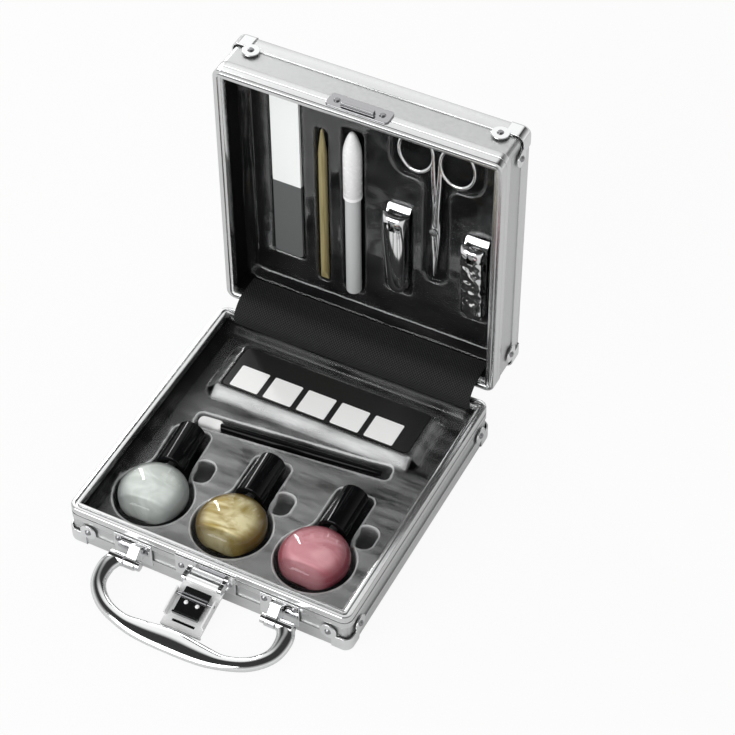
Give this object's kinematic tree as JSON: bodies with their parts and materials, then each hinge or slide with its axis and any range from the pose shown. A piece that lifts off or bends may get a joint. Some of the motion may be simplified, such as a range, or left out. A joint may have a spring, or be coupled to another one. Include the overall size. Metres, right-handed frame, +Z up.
{
  "type": "manicure case",
  "caption": "Square hinged aluminium case, open, with handle, flip latch and clear trays that hold nail tools and lacquer bottles.",
  "frame": {"origin": "on the table, under the middle of the open case's outline", "axes": "+X to the right along the hinge, -Y out of the front wall with its latch, +Z up"},
  "size_m": [0.1532, 0.2229, 0.1802],
  "materials": {
    "rim_aluminium": "bright satin",
    "panel_aluminium": "satin",
    "chrome": "polished",
    "steel": "brushed",
    "lining": "matte",
    "cloth": "woven",
    "clear_sheet": "clear gloss",
    "bottle_glass": "clear gloss",
    "lacquer_silver": "pearl",
    "lacquer_gold": "metallic",
    "lacquer_pink": "pearl",
    "black_gloss": "gloss",
    "applicator": "matte",
    "card": "satin print",
    "sheet_white": "matte",
    "brush_white": "soft",
    "file_board": "abrasive",
    "stick_wood": "plain",
    "pencil_white": "gloss",
    "pencil_grey": "satin"
  },
  "bodies": {
    "base": {"base_rim": "rim_aluminium", "base_wall_panels": "panel_aluminium", "base_floor_panel": "panel_aluminium", "base_edge_angles": "rim_aluminium", "base_corner_caps": "chrome", "base_rivets": "chrome", "base_lining": "lining", "base_tray": "clear_sheet", "hinge_lower_leaf": "steel", "hinge_pin": "steel", "hinge_cloth": "cloth", "latch_plate": "chrome", "latch_pin": "chrome", "handle_bracket_left": "chrome", "handle_bracket_right": "chrome", "stencil_card": "card", "stencil_sheets": "sheet_white", "nail_brush_handle": "black_gloss", "nail_brush_tip": "brush_white", "bottle_silver": "bottle_glass", "bottle_gold": "bottle_glass", "bottle_pink": "bottle_glass", "lacquer_silver": "lacquer_silver", "lacquer_gold": "lacquer_gold", "lacquer_pink": "lacquer_pink"},
    "lid": {"lid_rim": "rim_aluminium", "lid_wall_panels": "panel_aluminium", "lid_top_panel": "panel_aluminium", "lid_edge_angles": "rim_aluminium", "lid_corner_caps": "chrome", "lid_rivets": "chrome", "lid_lining": "lining", "lid_tray": "clear_sheet", "hinge_upper_leaf": "steel", "catch_plate": "chrome", "nail_file": "file_board", "orange_stick": "stick_wood", "pencil_barrel": "pencil_grey", "pencil_cap": "pencil_white", "large_clipper_jaws": "chrome", "large_clipper_post": "chrome", "small_clipper_jaws": "chrome", "small_clipper_post": "chrome", "scissor_blade_fixed": "chrome", "scissor_screw": "chrome"},
    "handle": {"handle_bow": "chrome", "handle_pins": "chrome"},
    "latch_lever": {"latch_lever": "chrome", "latch_hook_pin": "chrome"},
    "latch_hook": {"latch_hook": "chrome"},
    "large_clipper_lever": {"large_clipper_lever": "chrome"},
    "small_clipper_lever": {"small_clipper_lever": "chrome"},
    "scissor_blade_moving": {"scissor_blade_moving": "chrome"},
    "bottle_cap_silver": {"bottle_cap_silver": "black_gloss", "applicator_silver": "applicator"},
    "bottle_cap_gold": {"bottle_cap_gold": "black_gloss", "applicator_gold": "applicator"},
    "bottle_cap_pink": {"bottle_cap_pink": "black_gloss", "applicator_pink": "applicator"}
  },
  "joints": [
    {"name": "lid_hinge", "type": "hinge", "parent": "base", "child": "lid", "pos_m": [0, 0.08166, 0.024], "axis": [1, 0, 0], "range_deg": [0, 90], "deforming": ["hinge_cloth"]},
    {"name": "handle_swing", "type": "hinge", "parent": "base", "child": "handle", "pos_m": [0, -0.07734, 0.0086], "axis": [-1, 0, 0], "range_deg": [0, 86]},
    {"name": "latch_lever_tilt", "type": "hinge", "parent": "base", "child": "latch_lever", "pos_m": [0, -0.07464, 0.0118], "axis": [-1, 0, 0], "range_deg": [0, 105.1]},
    {"name": "latch_hook_spring", "type": "hinge", "parent": "latch_lever", "child": "latch_hook", "pos_m": [0, -0.08265, 0.00886], "axis": [1, 0, 0], "range_deg": [0, 7], "stiffness_Nm_per_rad": 0.002, "springref_deg": -11.46},
    {"name": "cap_turn_silver", "type": "hinge", "parent": "base", "child": "bottle_cap_silver", "pos_m": [-0.047, -0.04004, 0.01515], "axis": [-0.0698, 0.9976, 0], "continuous": true},
    {"name": "cap_turn_gold", "type": "hinge", "parent": "base", "child": "bottle_cap_gold", "pos_m": [-0.004, -0.04004, 0.01515], "axis": [-0.0262, 0.9997, 0], "continuous": true},
    {"name": "cap_turn_pink", "type": "hinge", "parent": "base", "child": "bottle_cap_pink", "pos_m": [0.0405, -0.04004, 0.01515], "axis": [-0.0087, 1, 0], "continuous": true},
    {"name": "large_clipper_lift", "type": "hinge", "parent": "lid", "child": "large_clipper_lever", "pos_m": [0.0132, 0.09598, 0.1036], "axis": [-1, 0, 0], "range_deg": [0, 10]},
    {"name": "small_clipper_lift", "type": "hinge", "parent": "lid", "child": "small_clipper_lever", "pos_m": [0.0548, 0.09598, 0.09998], "axis": [-1, 0, 0], "range_deg": [0, 10]},
    {"name": "scissor_open", "type": "hinge", "parent": "lid", "child": "scissor_blade_moving", "pos_m": [0.033, 0.10086, 0.1037], "axis": [0, 1, 0], "range_deg": [0, 14]}
  ]
}
